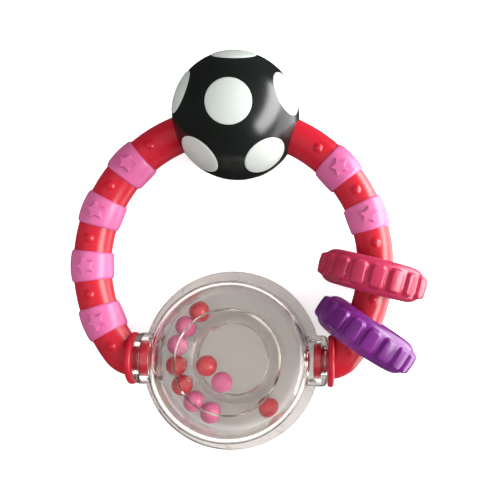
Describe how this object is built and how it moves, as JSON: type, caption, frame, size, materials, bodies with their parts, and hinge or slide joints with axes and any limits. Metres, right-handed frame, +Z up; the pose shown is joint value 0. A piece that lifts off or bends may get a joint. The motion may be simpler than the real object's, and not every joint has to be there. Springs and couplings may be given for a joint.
{
  "type": "baby rattle",
  "caption": "Ring-shaped baby rattle: round tube handle with soft grip bands, a dotted ball, a turning clear case of beads and loose toothed rings.",
  "frame": {"origin": "on the surface that the rattle lies on, under the middle of its whole outline", "axes": "+Z up, out of the face that lies uppermost; +Y from the bead case towards the ball; +X towards the arm that carries the toothed rings"},
  "size_m": [0.126, 0.1399, 0.0452],
  "materials": {
    "red_plastic": "glossy moulded plastic, tinted right through",
    "pink_soft_grip": "soft satin moulded rubber",
    "black_plastic": "glossy moulded plastic",
    "white_plastic": "glossy moulded plastic",
    "clear_plastic": "clear moulded plastic, polished",
    "red_bead_plastic": "glossy moulded bead",
    "pink_bead_plastic": "glossy moulded bead",
    "coral_soft_plastic": "slightly translucent soft plastic",
    "purple_soft_plastic": "slightly translucent soft plastic"
  },
  "bodies": {
    "handle": {"ball_disc_front_1": "white_plastic", "ball_disc_front_2": "white_plastic", "ball_disc_front_3": "white_plastic", "ball_disc_front_4": "white_plastic", "ball_disc_front_5": "white_plastic", "ball_disc_front_6": "white_plastic", "ball_disc_rear_1": "white_plastic", "ball_disc_rear_2": "white_plastic", "ball_disc_rear_3": "white_plastic", "ball_disc_rear_4": "white_plastic", "ball_disc_rear_5": "white_plastic", "ball_disc_rear_6": "white_plastic", "ball_front_shell": "black_plastic", "ball_rear_shell": "black_plastic", "grip_band_1": "pink_soft_grip", "grip_band_2": "pink_soft_grip", "grip_band_3": "pink_soft_grip", "grip_band_4": "pink_soft_grip", "grip_band_5": "pink_soft_grip", "grip_band_6": "pink_soft_grip", "handle_front_shell": "red_plastic", "handle_rear_shell": "red_plastic"},
    "case": {"case_front_shell": "clear_plastic", "case_rear_shell": "clear_plastic"},
    "channel_beads": {"bead_1": "red_bead_plastic", "bead_2": "pink_bead_plastic", "bead_3": "pink_bead_plastic", "bead_4": "red_bead_plastic", "bead_5": "red_bead_plastic", "bead_6": "pink_bead_plastic", "bead_7": "pink_bead_plastic", "bead_8": "red_bead_plastic"},
    "middle_beads": {"bead_9": "red_bead_plastic", "bead_10": "pink_bead_plastic"},
    "coral_ring": {"coral_gear_ring": "coral_soft_plastic"},
    "purple_ring": {"purple_gear_ring": "purple_soft_plastic"}
  },
  "joints": [
    {"name": "case_spin", "type": "hinge", "parent": "handle", "child": "case", "pos_m": [-0.00533, -0.03866, 0.0145], "axis": [1, 0, 0], "continuous": true},
    {"name": "channel_beads_roll", "type": "hinge", "parent": "case", "child": "channel_beads", "pos_m": [-0.00533, -0.03866, 0.0145], "axis": [0, 0, 1], "continuous": true},
    {"name": "middle_beads_roll", "type": "hinge", "parent": "case", "child": "middle_beads", "pos_m": [-0.00533, -0.03866, 0.0145], "axis": [0, 0, 1], "continuous": true},
    {"name": "coral_ring_slide", "type": "hinge", "parent": "handle", "child": "coral_ring", "pos_m": [-0.00533, -0.0052, 0.01765], "axis": [0, -0.0938, 0.9956], "range_deg": [-1, 55]},
    {"name": "purple_ring_slide", "type": "hinge", "parent": "handle", "child": "purple_ring", "pos_m": [-0.00533, -0.0052, 0.01765], "axis": [0, -0.0938, 0.9956], "range_deg": [-0.2, 1]}
  ]
}
